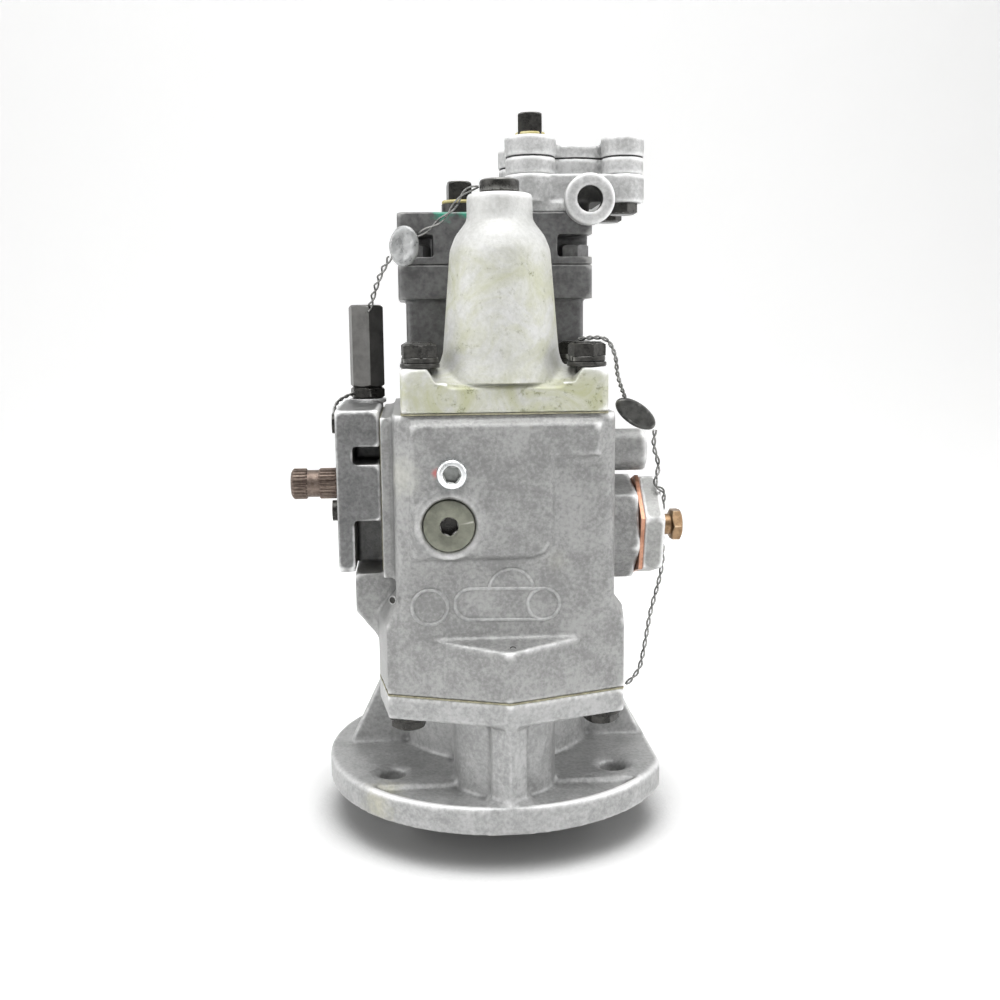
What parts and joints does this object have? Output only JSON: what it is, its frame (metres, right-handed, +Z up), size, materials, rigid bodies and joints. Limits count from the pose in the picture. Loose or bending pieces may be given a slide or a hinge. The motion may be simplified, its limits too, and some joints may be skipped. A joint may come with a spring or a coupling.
{
  "type": "diesel fuel pump",
  "caption": "Engine driven governor fuel pump: mounting flange, cast housing with throttle shaft, bell shaped spring cover, gear pump and pulse damper on top.",
  "frame": {"origin": "centre of the mounting flange's face, on the drive shaft axis", "axes": "+Z up along the drive shaft, away from the engine; -Y towards the spring cover and front panel; +X towards the hex side cap"},
  "size_m": [0.1617, 0.1492, 0.298],
  "materials": {
    "cast_aluminium": "sand cast, raw, stained",
    "black_iron": "black paint over cast iron",
    "dark_steel": "black oxide",
    "machined_steel": "ground",
    "spring_steel": "drawn wire",
    "brown_steel": "phosphated",
    "bronze": "sintered",
    "brass": "tarnished",
    "copper": "soft copper",
    "zinc_plate": "bright zinc",
    "olive_zinc": "olive passivated zinc",
    "gasket_fibre": "pressed fibre",
    "black_rubber": "moulded",
    "seal_wire": "twisted wire",
    "clear_seal": "translucent",
    "dark_seal": "moulded"
  },
  "bodies": {
    "root": {"cover_gasket": "gasket_fibre", "damper_bolts": "dark_steel", "damper_diaphragm": "black_rubber", "damper_lower_shell": "cast_aluminium", "damper_plug": "dark_steel", "damper_port_block": "cast_aluminium", "damper_top_shell": "cast_aluminium", "disc_seal": "clear_seal", "front_cover": "cast_aluminium", "front_cover_bolts": "dark_steel", "front_socket_plug": "olive_zinc", "gear_pump_body": "black_iron", "gear_pump_bolts": "dark_steel", "gear_pump_cover": "black_iron", "gear_pump_gasket": "gasket_fibre", "gear_pump_plug": "dark_steel", "governor_barrel": "machined_steel", "governor_bush": "bronze", "governor_spring": "spring_steel", "idle_plug": "dark_steel", "idle_spring": "spring_steel", "main_bearing_outer": "machined_steel", "main_housing": "cast_aluminium", "oval_seal": "dark_seal", "seal_wire_left": "seal_wire", "seal_wire_right": "seal_wire", "shaft_seal": "black_rubber", "side_cap": "cast_aluminium", "side_cap_screw": "brass", "side_cap_washer": "copper", "spring_cover": "cast_aluminium", "spring_cover_bolts": "dark_steel", "spring_cover_flat_washers": "dark_steel", "spring_cover_gasket": "gasket_fibre", "spring_cover_lock_washers": "dark_steel", "spring_stop": "machined_steel", "stop_lock_nut": "dark_steel", "tamper_cap": "dark_steel", "throttle_cover": "cast_aluminium", "throttle_cover_gasket": "gasket_fibre", "throttle_cover_screws": "dark_steel", "throttle_stop_screw": "dark_steel", "upper_bush": "bronze", "vent_screw": "zinc_plate"},
    "drive": {"main_shaft": "machined_steel", "drive_coupling": "machined_steel", "main_gear": "machined_steel", "pump_drive_gear": "machined_steel", "main_bearing_inner": "machined_steel"},
    "pump_follower": {"pump_driven_gear": "machined_steel"},
    "governor": {"governor_carrier": "machined_steel", "governor_gear": "machined_steel", "weight_pins": "machined_steel"},
    "weight_right": {"governor_weight_right": "machined_steel"},
    "weight_left": {"governor_weight_left": "machined_steel"},
    "plunger": {"governor_plunger": "machined_steel", "spring_seat": "machined_steel"},
    "throttle": {"throttle_shaft": "brown_steel"}
  },
  "joints": [
    {"name": "main_spin", "type": "hinge", "parent": "root", "child": "drive", "pos_m": [0, 0, 0.05], "axis": [0, 0, 1], "continuous": true},
    {"name": "pump_gear_spin", "type": "hinge", "parent": "root", "child": "pump_follower", "pos_m": [0, 0.0245, 0.21], "axis": [0, 0, 1], "continuous": true},
    {"name": "governor_spin", "type": "hinge", "parent": "root", "child": "governor", "pos_m": [0, -0.04, 0.036], "axis": [0, 0, 1], "continuous": true},
    {"name": "weight_right_swing", "type": "hinge", "parent": "governor", "child": "weight_right", "pos_m": [0.013, -0.04, 0.05], "axis": [0, 1, 0], "range_deg": [0, 18]},
    {"name": "weight_left_swing", "type": "hinge", "parent": "governor", "child": "weight_left", "pos_m": [-0.013, -0.04, 0.05], "axis": [0, -1, 0], "range_deg": [0, 18]},
    {"name": "plunger_lift", "type": "slide", "parent": "governor", "child": "plunger", "axis": [0, 0, 1], "range_m": [0, 0.00267], "deforming": ["governor_spring", "idle_spring"]},
    {"name": "throttle_turn", "type": "hinge", "parent": "root", "child": "throttle", "pos_m": [-0.05, -0.0205, 0.1325], "axis": [1, 0, 0], "range_deg": [0, 28]}
  ],
  "couplings": [
    {"joint": "pump_gear_spin", "follows": "main_spin", "ratio": -1},
    {"joint": "governor_spin", "follows": "main_spin", "ratio": -1.6667},
    {"joint": "weight_right_swing", "follows": "plunger_lift", "rad_per_m": 117.65},
    {"joint": "weight_left_swing", "follows": "plunger_lift", "rad_per_m": 117.65}
  ]
}
